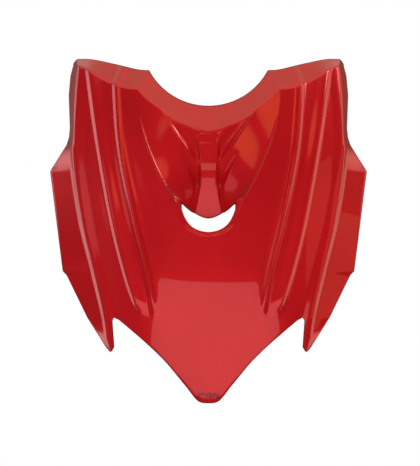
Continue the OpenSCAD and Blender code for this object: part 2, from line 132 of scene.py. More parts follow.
# Guide lines: half widths at the side notches, wing feet, slot, wing tops and shoulders.
CREST = (118.5, 131.0, 145.0, 155.6, 150.4)
MAIN = (82.0, 99.0, 114.0, 129.5, 142.6)
INNER = (65.5, 74.0, 89.0, 105.6, 112.0)
CREST_HEIGHT = 2.2
CREST_RUN = 12.0
CREST_GROW = 40.0
MAIN_HEIGHT = (5.4, 4.0)
MAIN_RUN = 19.0
MAIN_FLANK = 4.8
INNER_HEIGHT = (5.0, 4.0)
INNER_RUN = 10.0
INNER_FLANK = 5.0
RIDGE_FADE = 22.0
FLANK_EASE = 0.35
SHIELD_GAP = 8.5

# Scoop, slot and tongue.
SCOOP_TOP_X = 84.0
SCOOP_LOW_X = 37.0
SCOOP_BOW = 1.8
SCOOP_FOOT_SHARE = 0.75
SCOOP_FOOT_BOW = 0.7
SCOOP_LOW_DEPTH = 32.0
SCOOP_TOP_DEPTH = 15.0
SLOT_X = 33.0
SLOT_TOP_H = 214.2
SLOT_LOW_H = 198.8
SLOT_ROOF_BOW = 1.75
HORN_H = 236.0
HORN_END = 4.2
ROOF_CLIMB = 0.25
SILL_CLIMB = 0.1
RIM_W = 7.0
BEAD = 1.3
BEAD_W = 1.35
BEAD_SLANT = 1.12
BEAD_END_H = 318.0
BEAD_FADE = 20.0
TONGUE_TOP_X = 11.5
TONGUE_NECK_X = 8.3
TONGUE_LOW_X = 14.0
TONGUE_ROOT_SHARE = 0.6
TONGUE_NECK_H = 270.0
TONGUE_NECK_RISE = 13.5
TONGUE_LOW_RISE = 3.2
TONGUE_FLANK = 3.5
TONGUE_STEP = 8.5
TONGUE_DIP = 0.75
TONGUE_FADE = 14.0
GILL_HEIGHT = 4.0
GILL_W = 4.5
GILL_START = 0.08
GILL_GROW = 1.6
GILL_LEAD = 12.0
GILL_NARROW = 0.35
GILL_PAST = 0.12
GILL_SPREAD = 4.0
GILL_FOOT = 5.0
UPPER_GILL = ((57.0, 344.0), (15.7, 286.0))
LOWER_GILL = ((33.6, 291.0), (15.7, 254.0))

# Screws: half span, height above the tip and depth of the end faces.
UPPER_SCREW = (90.0, 338.0, 92.0)
LOWER_SCREW = (42.0, 90.0, 36.0)
BOSS_D = 9.0
BOSS_STEPS = 40
BOSS_CHAMFER = 0.4
BOSS_FLARE = 0.25
PILOT_D = 4.2
PILOT_DEPTH = 16.0
PILOT_POINT = 0.25
PILOT_CHAMFER = (0.5, 0.6)
RIB_T = 2.0
RIB_REACH = 12.0

# A rib's outline: distance from the boss's axis, and how far towards the wall it starts there.
RIB_PROFILE = ((BOSS_D * 0.35, 0.34), (RIB_REACH * 0.6, 0.7), (RIB_REACH, 0.97))

# In metres: how far spray and the painted edge shade reach from the rim, how near points are welded, and the
# longest way to the wall. The painted edge shade, a dark line that stands in for the rim's shading, lies
# where a face turns further from the wall's own direction than its turn limit.
SPRAY_REACH = 0.016
EDGE_SHADE_REACH = 0.003
EDGE_SHADE_TURN = 0.97
WELD = 1e-6
WALL_RANGE = 0.2

# Cells between neighbouring guide lines and rows, first as the solid has them, then as drawn here.
SPAN_CELLS = (2, 1, 7, 2, 3, 2, 4, 2, 2, 2, 3)
SPAN_DRAWN = (5, 4, 22, 11, 13, 9, 20, 13, 12, 8, 11)
SPAN_PULL = (1, 1, 1, -1.9, 2.2, 1, 1, 1, 1, 1, 1)
ROW_PULL = (1, 1, 1, 1, 1.3, 1)
ROW_CELLS = (3, 18, 2, 1, 11, 5)
ROW_DRAWN = (9, 64, 8, 9, 40, 18)
SIDE_MARKS = (10, 14, 27, 28, 32)
CREST_SPAN = 9
NOTCH_SPAN = 8

# Steps in which a column settles on an edge, and the share of a cell within which two lines count as one.
SETTLE_STEPS = 12
LINE_WIDTH = 0.01

# The fewest faces that a finished piece may have.
SHELL_FACES = 1000
BOSS_FACES = 1

# Paint and plastic: scales of the noises in 1/m, where each starts and is full, depths of the bumps in
# metres, and the finish.
SPRAY_GRAIN = 900.0
SPRAY_AT = (0.25, 0.95)
TONE_DRIFT = 14.0
TONE_AT = (0.3, 0.7)
PLASTIC_GRAIN = 420.0
PLASTIC_AT = (0.35, 0.65)
RUB_GRAIN = 330.0
RUB_AT = (0.42, 0.5)
GLOSS_DRIFT = 60.0
# Where the painted shade along the rim's edges starts and is full.
EDGE_SHADE_AT = (0.5, 0.95)
PEEL = (520.0, 0.00002)
MOULD_GRAIN = (1500.0, 0.00006)
BUMP = 0.6
# Shares of the dark edge colour: painted shade on the rim's edges, then rubbed wear at the tip.
EDGE_SHADE_COVER = 0.85
RUB_COVER = 0.75
PAINT_ROUGH = 0.28
PLASTIC_ROUGH = 0.55
ROUGH_DRIFT = 0.05
PAINT_METAL = 0.32
COAT_ROUGH = 0.03
COAT_IOR = 1.4
SPECULAR = 0.1

# Rubbed marks at the tip: height of their middle in the frame, half height and half width, in mm.
SMUDGE_Z = -81.0
SMUDGE_H = 4.5
SMUDGE_W = 15.0

# Camera: distance, and the photograph's scale and middle in the part's own frame.
CAMERA_FAR = 20.0
CAMERA_END = 60.0
SENSOR = 36.0
PHOTO_W = 420
PHOTO_H = 466
PIXEL = 1.16 * MM
MIDDLE_PX = 208.45
TIP_PX = 403.3

# Floor: gap below the tip, sides (left, right, front, back) and the glow that makes it pale to the camera.
FLOOR_GAP = 0.5
FLOOR_SIDES = (-1.0, 1.0, -0.1, 1.8)
FLOOR_GLOW = 0.55

# Tints of the lights.
WHITE = (1.0, 1.0, 1.0)
WARM = (1.0, 0.55, 0.33)
AMBER = (1.0, 0.6, 0.2)
ROSE = (1.0, 0.85, 0.82)
PALE = (1.0, 0.93, 0.91)
SALMON = (0.88, 0.58, 0.46)
CREAM = (1.0, 0.85, 0.62)

# What the gloss sees of the room: where each surface starts and is full, as shares of the direction across,
# back or up, and how much it dims.
CEILING_LEAN = 0.35
CEILING_AT = (0.62, 0.85)
CEILING_DIM = 0.43
CEILING_DIM_AT = (0.0, 0.5)
SIDES_AT = (0.24, 0.34)
SIDES_DIM = 0.92
SIDES_DIM_AT = (0.45, 0.88)
SIDES_TOP = (0.35, 0.6)
WALL_AT = (0.75, 0.9)
WALL_END = (-0.25, -0.1)
BACKDROP_AT = (0.98, 0.995)
RIGHT_TINT_AT = (-0.3, 0.3)
UP_TINT_AT = (0.5, 0.8)

# Small soft lights that the gloss reflects: direction, and the cosines where each starts and is full.
LOW_AMBER = ((-0.26, -0.76, 0.6), (0.955, 0.985))
LOW_AMBER_TOP = (0.64, 0.69)
LOW_AMBER_LEFT = (-0.37, -0.3)
HIGH_AMBER = ((0.298, -0.585, 0.755), (0.972, 0.99))
FLUTE_LIGHT = ((-0.804, -0.543, 0.242), (0.965, 0.985))
GILL_LIGHT = ((0.765, 0.135, 0.629), (0.972, 0.988))

# Lamps: place, the point that they face, and size, in metres.
FILL_LAMP = ((-0.4, -3.0, 1.0), (0.0, 0.0, 0.1), (3.0, 2.4))
LOW_CARD = ((0.1, -1.07, -0.52), (0.0, 0.0, 0.03), (2.0, 0.76))
RIGHT_CARD = ((1.5, -0.235, 0.15), (0.0, -0.235, 0.15), (1.0, 1.1))
HIGH_CARD = ((1.15, 0.27, 1.12), (0.0, 0.0, 0.2), (0.42, 0.62))

COLUMN_OF = [sum(SPAN_CELLS[:k]) for k in range(len(SPAN_CELLS) + 1)]
ROW_OF = [sum(ROW_CELLS[:k]) for k in range(len(ROW_CELLS) + 1)]
HORN_COLUMN = COLUMN_OF[3]
SCOOP_COLUMN = COLUMN_OF[4]
NOTCH_COLUMN = COLUMN_OF[NOTCH_SPAN]
CREST_COLUMN = COLUMN_OF[CREST_SPAN]
BAND_COLUMN = COLUMN_OF[CREST_SPAN + 1]
HALF_COLUMNS = COLUMN_OF[-1]
CREASE_ROW, SLOT_ROW, LIP_ROW, RIM_ROW, EDGE_ROW, LAST_ROW = ROW_OF[1:]
CORNER_H = PANEL_H - FLANGE_END


def mix(a, b, t):
    return a + (b - a) * t


def clamp(t):
    return min(1.0, max(0.0, t))


def smooth(t):
    c = clamp(t)
    return c * c * (3 - 2 * c)


def peak(u, power):
    return max(0.0, 1 - abs(u)) ** power


def grade(stations, i):
    a = max(0, i - 1)
    b = min(len(stations) - 1, i + 1)
    return (stations[b][1] - stations[a][1]) / (stations[b][0] - stations[a][0])


def faired(stations, s):
    """A smooth line through stations (place, value), straight beyond its ends."""
    last = len(stations) - 1
    if s <= stations[0][0]:
        return stations[0][1] + (s - stations[0][0]) * grade(stations, 0)
    if s >= stations[last][0]:
        return stations[last][1] + (s - stations[last][0]) * grade(stations, last)
    i = 0
    while s > stations[i + 1][0]:
        i += 1
    h = stations[i + 1][0] - stations[i][0]
    t = (s - stations[i][0]) / h
    u = 1 - t
    ends = stations[i][1] * (1 + 2 * t) * u * u + stations[i + 1][1] * (3 - 2 * t) * t * t
    return ends + h * t * u * (grade(stations, i) * u - grade(stations, i + 1) * t)


def lookup(stations, s):
    """A polyline through stations (place, value), level beyond its ends."""
    if s <= stations[0][0]:
        return stations[0][1]
    for (a, low), (b, high) in zip(stations, stations[1:]):
        if s <= b:
            return mix(low, high, (s - a) / (b - a))
    return stations[-1][1]


# Edges of the shell as seen from the front.
BELLY = (
    (-TIP_X, TIP_ROUND_H), (0.0, 0.0), (TIP_X, TIP_ROUND_H), (BELLY_LOW_X, BELLY_LOW_H),
    (BELLY_X, BELLY_H), (NOTCH_X - NOTCH_ROUND_X, NOTCH_H - NOTCH_ROUND_H), (NOTCH_X, NOTCH_H),
)
SHOULDER_LINE = (
    (STEER_X, STEER_CORNER_H), (STEER_X + BROW_X, STEER_CORNER_H + BROW_H),
    (STEER_X + ARCH_X, PANEL_H - ARCH_DROP), (STEER_X + DOME_X, PANEL_H - DOME_DROP), (CREST[4], PANEL_H),
)
FLANGE_FACE = (
    (0.0, FLANGE_MID), (STEER_X * FLANGE_SIDE_AT, FLANGE_SIDE),
    (STEER_X * FLANGE_TURN_AT, FLANGE_CORNER - FLANGE_TURN), (SCOOP_TOP_X, FLANGE_CORNER + FLANGE_TURN),
    (mix(SCOOP_TOP_X, CREST[4], 0.5), FLANGE_SHOULDER), (CREST[4], FLANGE_END),
)
SIDE_LINE = (
    (FANG_H, FANG_X + FANG_CHEEK), (NOTCH_H, FANG_X + FANG_SPREAD),
    (WING_FOOT_H - WING_STEP, WING_FOOT_W / 2 - WING_STEP), (WING_FOOT_H, WING_FOOT_W / 2),
    (WING_CORNER_H, WING_W / 2), (WING_TOP_H, SHOULDER_W / 2 + WING_FLARE),
    (WING_TOP_H + WING_FILLET, SHOULDER_W / 2), (WING_TOP_H + WAIST_RISE, SHOULDER_W / 2 - WAIST_IN),
    (mix(WING_TOP_H, PANEL_H, SHOULDER_SHARE), SHOULDER_W / 2 + SHOULDER_SWELL),
    (PANEL_H - SHOULDER_FALL_H, SHOULDER_W / 2 - SHOULDER_FALL_X),
    (CORNER_H, SHOULDER_W / 2 - SHOULDER_END_X),
)
TONGUE_LINE = (
    (0.0, TONGUE_LOW_X * TONGUE_ROOT_SHARE), (SLOT_LOW_H, TONGUE_LOW_X), (SLOT_TOP_H, TONGUE_LOW_X),
    (TONGUE_NECK_H, TONGUE_NECK_X), (STEER_H - FLANGE_MID, TONGUE_TOP_X),
)
LEVELS = (NOTCH_H, WING_FOOT_H, SLOT_TOP_H, WING_TOP_H, CORNER_H)
INNER_LINE = tuple(zip(LEVELS, INNER))
MAIN_LINE = tuple(zip(LEVELS, MAIN))
CREST_LINE = ((FANG_H, FANG_X),) + tuple(zip(LEVELS, CREST))
MARKS = (
    (0.0, CORNER_H), (SIDE_MARKS[0], WING_TOP_H), (SIDE_MARKS[1], WING_CORNER_H),
    (SIDE_MARKS[2], WING_FOOT_H), (SIDE_MARKS[3], WING_FOOT_H - WING_STEP), (SIDE_MARKS[4], NOTCH_H),
)
SIDE_DROP = (
    (FANG_H, FANG_DEPTH), (NOTCH_H, NOTCH_DEPTH), (WING_FOOT_H, WING_DEPTH * WING_FOOT_SHARE),
    (WING_CORNER_H, WING_DEPTH), (WING_TOP_H, SHOULDER_DEPTH), (CORNER_H, SHOULDER_DEPTH),
)
BAND_DROP = (
    (FANG_H, FANG_DEPTH * BAND_FANG_SHARE), (NOTCH_H, BAND_DEPTH * BAND_NOTCH_SHARE),
    (WING_FOOT_H, BAND_DEPTH), (WING_TOP_H, BAND_DEPTH), (CORNER_H, BAND_DEPTH),
)


def lower_edge(x):
    return faired(BELLY, x)


def upper_edge(x):
    if x < STEER_X:
        return min(STEER_CORNER_H, STEER_H + STEER_R - math.sqrt(STEER_R * STEER_R - x * x))
    return faired(SHOULDER_LINE, x)


def edge_over(x):
    if x < SCOOP_TOP_X:
        return x * STEER_X / SCOOP_TOP_X
    return mix(STEER_X, CREST[4], (x - SCOOP_TOP_X) / (CREST[4] - SCOOP_TOP_X))


def crease_h(x):
    return upper_edge(edge_over(x)) - faired(FLANGE_FACE, x)


def scoop_x(z):
    foot = HORN_H - HORN_END
    if z > foot:
        share = clamp(1 - (z - foot) / (STEER_CORNER_H - FLANGE_CORNER - foot))
        return mix(SCOOP_LOW_X, SCOOP_TOP_X, 1 - share ** SCOOP_BOW)
    return mix(SCOOP_LOW_X * SCOOP_FOOT_SHARE, SCOOP_LOW_X, max(0.0, z / foot) ** SCOOP_FOOT_BOW)


def tongue_x(z):
    return faired(TONGUE_LINE, z)


def foot_x(z):
    return tongue_x(z) + TONGUE_FLANK


HORN_SHARE = (SLOT_X - foot_x(HORN_H)) / (scoop_x(HORN_H) - foot_x(HORN_H))


def inner_x(z):
    return faired(INNER_LINE, z)


def main_x(z):
    return faired(MAIN_LINE, z)


def crest_x(z):
    return faired(CREST_LINE, z)


def side_x(z):
    return lookup(SIDE_LINE, z)


def flute_x(z):
    share = (NOTCH_X - MAIN[0]) / (CREST[0] - MAIN[0])
    low = smooth((WING_FOOT_H - z) / (WING_FOOT_H - NOTCH_H))
    return mix(main_x(z), crest_x(z), mix(0.5, share, low))


GUIDES = (
    lambda z: 0.0,
    tongue_x,
    foot_x,
    lambda z: mix(foot_x(z), scoop_x(z), HORN_SHARE),
    scoop_x,
    lambda z: inner_x(z) - SHIELD_GAP,
    inner_x,
    main_x,
    flute_x,
    crest_x,
)


def column_x(j, z):
    if j >= CREST_COLUMN:
        return crest_x(z)
    k = max(n for n in range(CREST_SPAN) if COLUMN_OF[n] <= j)
    return mix(GUIDES[k](z), GUIDES[k + 1](z), (j - COLUMN_OF[k]) / SPAN_CELLS[k])


def settle(j, z, height):
    """The height at which a column crosses an edge."""
    for _ in range(SETTLE_STEPS):
        z = height(column_x(j, z))
    return z


def slot_roof(x):
    return mix(SLOT_TOP_H, HORN_H, clamp(x / SLOT_X) ** SLOT_ROOF_BOW)


def slot_sill(x):
    """The slot's lower edge: a round middle that turns up steeply into the horns."""
    t = clamp(x / SLOT_X)
    return mix(SLOT_LOW_H, HORN_H - HORN_END, (t ** 2 + t ** 6) / 2)


def crossings(j):
    """Heights of a column's ends and of its crossings with the slot."""
    top = CORNER_H if j >= CREST_COLUMN else settle(j, STEER_H, crease_h)
    low = NOTCH_H if j >= NOTCH_COLUMN else settle(j, BELLY_H, lower_edge)
    if j <= HORN_COLUMN:
        return top, settle(j, SLOT_TOP_H, slot_roof), settle(j, SLOT_LOW_H, slot_sill), low
    past = column_x(j, HORN_H) - SLOT_X
    return top, HORN_H + past * ROOF_CLIMB, HORN_H - HORN_END + past * SILL_CLIMB, low


def row_height(i, j, ends):
    top, slot, lip, low = ends
    r = i - CREASE_ROW
    if i <= SLOT_ROW:
        near = mix(top, slot, r / ROW_CELLS[1])
    elif i <= LIP_ROW:
        near = mix(slot, lip, (i - SLOT_ROW) / ROW_CELLS[2])
    elif i <= RIM_ROW:
        near = lip - RIM_W * (i - LIP_ROW) / ROW_CELLS[3]
    else:
        near = mix(lip - RIM_W, low, (i - RIM_ROW) / ROW_CELLS[4])
    far = mix(top, low, (CORNER_H - lookup(MARKS, r)) / (CORNER_H - NOTCH_H))
    return mix(near, far, smooth((j - SCOOP_COLUMN) / (CREST_COLUMN - SCOOP_COLUMN)))


def lean(z):
    if z > NOSE_H:
        return RAKE * ((z - NOSE_H) / (PANEL_H - NOSE_H)) ** 2
    return TUCK * ((NOSE_H - z) / NOSE_H) ** 2


def ridge(u, run, flank):
    """A slow rise from the middle of the panel, then a steeper flank whose own middle is the guide line."""
    if u < -flank / 2:
        return smooth((u + run) / (run - flank / 2))
    down = clamp((u + flank / 2) / flank)
    return 1 - mix(down, smooth(down), FLANK_EASE)


def ridges(x, z):
    up = clamp((z - NOTCH_H) / (CORNER_H - NOTCH_H))
    fade = smooth((z - NOTCH_H) / RIDGE_FADE)
    inner = mix(*INNER_HEIGHT, up) * fade * ridge(x - inner_x(z), INNER_RUN, INNER_FLANK)
    main = mix(*MAIN_HEIGHT, up) * fade * ridge(x - main_x(z), MAIN_RUN, MAIN_FLANK)
    crest = CREST_HEIGHT * clamp((z - FANG_H) / CREST_GROW) * smooth((x - crest_x(z) + CREST_RUN) / CREST_RUN)
    return inner + main + crest


def bead(x, z):
    """A fine rolled line along the scoop's edge and round under the slot."""
    corner_x = SLOT_X + RIM_W / 2
    corner_z = HORN_H - HORN_END - RIM_W / 2
    if z > corner_z:
        away = (x - scoop_x(z)) / BEAD_SLANT
    elif x > corner_x:
        away = math.hypot(x - corner_x, z - corner_z)
    else:
        turn = x * SLOT_X / corner_x
        steep = (slot_sill(turn + 0.5) - slot_sill(turn - 0.5)) * SLOT_X / corner_x
        away = (slot_sill(turn) - RIM_W / 2 - z) / math.hypot(1, steep)
    return BEAD * smooth(peak(away / BEAD_W, 1)) * (1 - smooth((z - BEAD_END_H) / BEAD_FADE))


def face_depth(x, z):
    """Depth of the painted face behind its foremost point."""
    return lean(z) + CROWN * (x / CREST[3]) ** CROWN_POWER - ridges(x, z) - bead(x, z)


def gill(x, z, ends):
    """A rib that grows from the first of its ends towards the tongue, steep above and drawn out below."""
    (ax, az), (bx, bz) = ends
    run_x = bx - ax
    run_z = bz - az
    size = math.hypot(run_x, run_z)
    along = ((x - ax) * run_x + (z - az) * run_z) / (size * size)
    across = -((z - az) * run_x - (x - ax) * run_z) / size
    grown = clamp(along * GILL_GROW + GILL_START) * (1 if along > 0 else smooth(1 + along * GILL_LEAD))
    flank = GILL_W * mix(GILL_NARROW, 1, grown)
    step = grown * smooth((1 + GILL_PAST - along) / GILL_PAST)
    fall = smooth((GILL_W * GILL_SPREAD - across) / (GILL_W * (GILL_SPREAD - 1)))
    return GILL_HEIGHT * step * smooth(across / flank + 0.5) * fall


def tongue_rise(z):
    """How far the tongue stands above the scoop's floor: most at its neck, with a step down above it."""
    if z > TONGUE_NECK_H:
        neck = 1 - TONGUE_DIP * clamp((z - TONGUE_NECK_H) / TONGUE_STEP)
        return TONGUE_NECK_RISE * neck * (1 - smooth((z - STEER_H + FLANGE_MID + TONGUE_FADE) / TONGUE_FADE))
    return mix(TONGUE_LOW_RISE, TONGUE_NECK_RISE, (z - SLOT_TOP_H) / (TONGUE_NECK_H - SLOT_TOP_H))


def scoop_depth(x, z):
    """How far the scoop's floor and tongue stand behind the face."""
    deep = mix(SCOOP_LOW_DEPTH, SCOOP_TOP_DEPTH, (z - SLOT_TOP_H) / (STEER_H - FLANGE_MID - SLOT_TOP_H))
    wide = scoop_x(z)
    foot = tongue_x(z)
    share = clamp((wide - x) / (wide - foot))
    gills = (gill(x, z, UPPER_GILL) + gill(x, z, LOWER_GILL)) * smooth((x - foot) / GILL_FOOT)
    return deep * share + gills - tongue_rise(z) * (1 - smooth((x - foot) / TONGUE_FLANK))


def roll(t):
    """The band outside the crest: a narrow flank, then a steeper fall."""
    return ROLL * t + (1 - ROLL) * max(0.0, 2 * t - 1)


def side_depth(x, z, j):
    base = face_depth(x, z)
    if j <= CREST_COLUMN:
        return base
    if j <= BAND_COLUMN:
        return base + faired(BAND_DROP, z) * roll((j - CREST_COLUMN) / (BAND_COLUMN - CREST_COLUMN))
    share = (j - BAND_COLUMN) / (HALF_COLUMNS - BAND_COLUMN)
    return base + mix(faired(BAND_DROP, z), faired(SIDE_DROP, z), share)


def side_share(x_crest, x_out, j):
    x_band = min(x_crest + BAND_W, mix(x_crest, x_out, 0.5))
    if j <= BAND_COLUMN:
        return mix(x_crest, x_band, (j - CREST_COLUMN) / (BAND_COLUMN - CREST_COLUMN))
    return mix(x_band, x_out, (j - BAND_COLUMN) / (HALF_COLUMNS - BAND_COLUMN))


def side_point(z, j):
    return side_share(crest_x(z), side_x(z), j), side_depth(crest_x(z), z, j), z


def face_point(i, j, ends):
    z = row_height(max(i, CREASE_ROW), j, ends)
    x = column_x(j, z)
    in_scoop = i <= SLOT_ROW and j < SCOOP_COLUMN
    return x, face_depth(x, z) + (scoop_depth(x, z) if in_scoop else 0.0), z


def fang_point(i, j):
    down = (i - EDGE_ROW) / ROW_CELLS[5]
    across = (j - NOTCH_COLUMN) / (HALF_COLUMNS - NOTCH_COLUMN)
    z = mix(NOTCH_H, FANG_H + FANG_TIP_RISE * abs(2 * across - 1) ** 2, down)
    inner = NOTCH_X + FANG_STEP * smooth(down * FANG_STEP_GROW) - FANG_TAPER * down
    x_crest = crest_x(z)
    tip_in = FANG_X - FANG_TIP_W * FANG_TIP_IN
    x_out = max(side_x(z), mix(tip_in, tip_in + FANG_TIP_W, across))
    if j <= CREST_COLUMN:
        x = mix(inner, x_crest, (j - NOTCH_COLUMN) / (CREST_COLUMN - NOTCH_COLUMN))
    else:
        x = side_share(x_crest, x_out, j)
    return x, side_depth(min(x, x_crest), z, j), z


def flange_point(i, j, at):
    t = 1 - i / ROW_CELLS[0]
    if j <= CREST_COLUMN:
        x_out = edge_over(at[0])
        return mix(at[0], x_out, t), at[1] + FLANGE_DEPTH * t, mix(at[2], upper_edge(x_out), t)
    s = (j - CREST_COLUMN) / (HALF_COLUMNS - CREST_COLUMN)
    crest_y = face_depth(CREST[4], CORNER_H)
    reach = (at[0] - CREST[4]) * math.sqrt(1 - t * t / 2)
    side = (at[1] - crest_y) / FLANGE_DEPTH
    back = (side ** 3 + t ** 3) ** (1 / 3) * FLANGE_DEPTH
    return CREST[4] + reach, crest_y + back, CORNER_H + FLANGE_END * t * math.sqrt(1 - s * s / 2)


def stops(cells, drawn, pulls):
    """Places of the drawn lines, counted in the solid's own cells and gathered towards an end where asked."""
    places = [0.0]
    start = 0
    for cell, n, pull in zip(cells, drawn, pulls):
        for m in range(1, n + 1):
            share = (m / n) ** pull if pull > 0 else 1 - (1 - m / n) ** -pull
            places.append(start + cell * share)
        start += cell
    return places


def half_face():
    """Points of the right half, by drawn row and column, in millimetres from the nose and the tip."""
    rows = stops(ROW_CELLS, ROW_DRAWN, ROW_PULL)
    points = []
    for j in stops(SPAN_CELLS, SPAN_DRAWN, SPAN_PULL):
        ends = crossings(j)
        crease = face_point(CREASE_ROW, j, ends) if j <= CREST_COLUMN else side_point(CORNER_H, j)
        column = []
        for i in rows:
            if i < CREASE_ROW:
                column.append(flange_point(i, j, crease))
            elif i > EDGE_ROW:
                column.append(fang_point(i, j) if j >= NOTCH_COLUMN else None)
            elif j <= CREST_COLUMN:
                column.append(face_point(i, j, ends))
            else:
                column.append(side_point(row_height(i, j, ends), j))
        points.append(column)
    return points


def placed(x, depth, z):
    return Vector((x * MM, (depth - LOWER_SCREW[2]) * MM, (z - LOWER_SCREW[1]) * MM))


class Graph:
    """Adds nodes to a tree, each by its type, its settings and its socket values."""

    def __init__(self, tree):
        self.tree = tree

    def add(self, kind, settings=None, **sockets):
        node = self.tree.nodes.new(kind)
        for name, value in (settings or {}).items():
            setattr(node, name, value)
        for name, value in sockets.items():
            self.feed(self.socket(node.inputs, name), value)
        return node

    def socket(self, sockets, name):
        wanted = name.replace("_", " ")
        for socket in sockets:
            if socket.enabled and socket.name == wanted:
                return socket
        raise KeyError(name)

    def feed(self, socket, value):
        if isinstance(value, Value):
            value = value.socket
        if isinstance(value, bpy.types.NodeSocket):
            self.tree.links.new(value, socket)
        else:
            socket.default_value = value

    def link(self, value, node, name):
        self.feed(self.socket(node.inputs, name), value)

    def blend(self, share, first, second):
        """A colour that goes from the first at 0 to the second at 1."""
        node = self.add("ShaderNodeMix", {"data_type": "RGBA"})
        for n, value in ((0, share), (6, first), (7, second)):
            self.feed(node.inputs[n], value)
        return node.outputs[2]

    def parts(self, vector):
        """The three numbers of a vector."""
        return [Value(self, socket) for socket in self.add("ShaderNodeSeparateXYZ", Vector=vector).outputs]

    def attribute(self, name):
        return Value(self, self.add("ShaderNodeAttribute", {"attribute_name": name}).outputs["Fac"])

    def rays(self, *kinds):
        """1 for light rays of the named kinds, and 0 for others."""
        path = self.add("ShaderNodeLightPath")
        total = Value(self, path.outputs["Is %s Ray" % kinds[0]])
        for kind in kinds[1:]:
            total = total + path.outputs["Is %s Ray" % kind]
        return total.op("MINIMUM", 1.0)

    def choose(self, share, first, second):
        """A shader that goes from the first at 0 to the second at 1."""
        node = self.add("ShaderNodeMixShader")
        for n, value in enumerate((share, first, second)):
            self.feed(node.inputs[n], value)
        return node.outputs[0]


class Value:
    """A number socket with Python's own arithmetic."""

    def __init__(self, graph, socket):
        self.graph = graph
        self.socket = socket

    def op(self, operation, *others):
        node = self.graph.tree.nodes.new("ShaderNodeMath")
        node.operation = operation
        for n, value in enumerate((self,) + others):
            self.graph.feed(node.inputs[n], value)
        return Value(self.graph, node.outputs[0])

    def __add__(self, other):
        return self.op("ADD", other)

    __radd__ = __add__

    def __mul__(self, other):
        return self.op("MULTIPLY", other)

    __rmul__ = __mul__

    def __sub__(self, other):
        return self.op("SUBTRACT", other)

    def __rsub__(self, other):
        return (self * -1.0).op("ADD", other)

    def between(self, low, high):
        """0 up to low and 1 from high on, with a smooth way between."""
        node = self.graph.add("ShaderNodeMapRange", {"interpolation_type": "SMOOTHSTEP"})
        self.graph.feed(node.inputs[0], self)
        node.inputs[1].default_value = low
        node.inputs[2].default_value = high
        return Value(self.graph, node.outputs[0])


def numbered(modifier, name, value):
    """Sets a modifier's named input by the socket's identifier."""
    for item in modifier.node_group.interface.items_tree:
        if item.item_type == "SOCKET" and item.in_out == "INPUT" and item.name == name:
            modifier[item.identifier] = value
            return
    raise KeyError(name)


def new_tree(name, inputs):
    tree = bpy.data.node_groups.new(name, "GeometryNodeTree")
    tree.interface.new_socket(name="Geometry", in_out="INPUT", socket_type="NodeSocketGeometry")
    for label, kind in inputs:
        tree.interface.new_socket(name=label, in_out="INPUT", socket_type=kind)
    tree.interface.new_socket(name="Geometry", in_out="OUTPUT", socket_type="NodeSocketGeometry")
    graph = Graph(tree)
    entry = graph.add("NodeGroupInput")
    out = graph.add("NodeGroupOutput")
    return graph, entry.outputs, out


def finish_tree(graph, entry, out, geometry):
    real = graph.add("GeometryNodeRealizeInstances", Geometry=geometry)
    dressed = graph.add("GeometryNodeSetMaterial", Geometry=real.outputs[0], Material=entry["Material"])
    graph.link(dressed.outputs[0], out, "Geometry")


def skin_tree():
    """Gives a face its wall: a copy set back along each point's own inward line, closed round every edge."""
    graph, entry, out = new_tree(
        "panel_skin", (("Wall", "NodeSocketFloat"), ("Material", "NodeSocketMaterial"))
    )
    raised = graph.add("GeometryNodeExtrudeMesh", {"mode": "FACES"}, Mesh=entry["Geometry"])
    raised.inputs["Individual"].default_value = False
    raised.inputs["Offset Scale"].default_value = 0.0
    inward = graph.add("GeometryNodeInputNamedAttribute", {"data_type": "FLOAT_VECTOR"}, Name="inward")
    shift = graph.add("ShaderNodeVectorMath", {"operation": "SCALE"})
    graph.feed(shift.inputs[0], inward.outputs[0])
    graph.feed(shift.inputs["Scale"], entry["Wall"])
    moved = graph.add("GeometryNodeSetPosition", Geometry=raised.outputs["Mesh"])
    graph.link(raised.outputs["Top"], moved, "Selection")
    graph.link(shift.outputs[0], moved, "Offset")
    rim = graph.add("GeometryNodeStoreNamedAttribute", {"data_type": "FLOAT", "domain": "FACE"},
                    Geometry=moved.outputs[0], Name="rim")
    graph.link(raised.outputs["Side"], rim, "Value")
    back = graph.add("GeometryNodeStoreNamedAttribute", {"data_type": "FLOAT", "domain": "FACE"},
                     Geometry=rim.outputs[0], Name="back")
    graph.link(raised.outputs["Top"], back, "Value")
    turned = graph.add("GeometryNodeFlipFaces", Mesh=back.outputs[0])
    joined = graph.add("GeometryNodeJoinGeometry")
    graph.feed(joined.inputs[0], entry["Geometry"])
    graph.feed(joined.inputs[0], turned.outputs[0])
    welded = graph.add("GeometryNodeMergeByDistance", Geometry=joined.outputs[0], Distance=WELD)
    soft = graph.add("GeometryNodeSetShadeSmooth", Geometry=welded.outputs[0])
    finish_tree(graph, entry, out, soft.outputs[0])
    return graph.tree


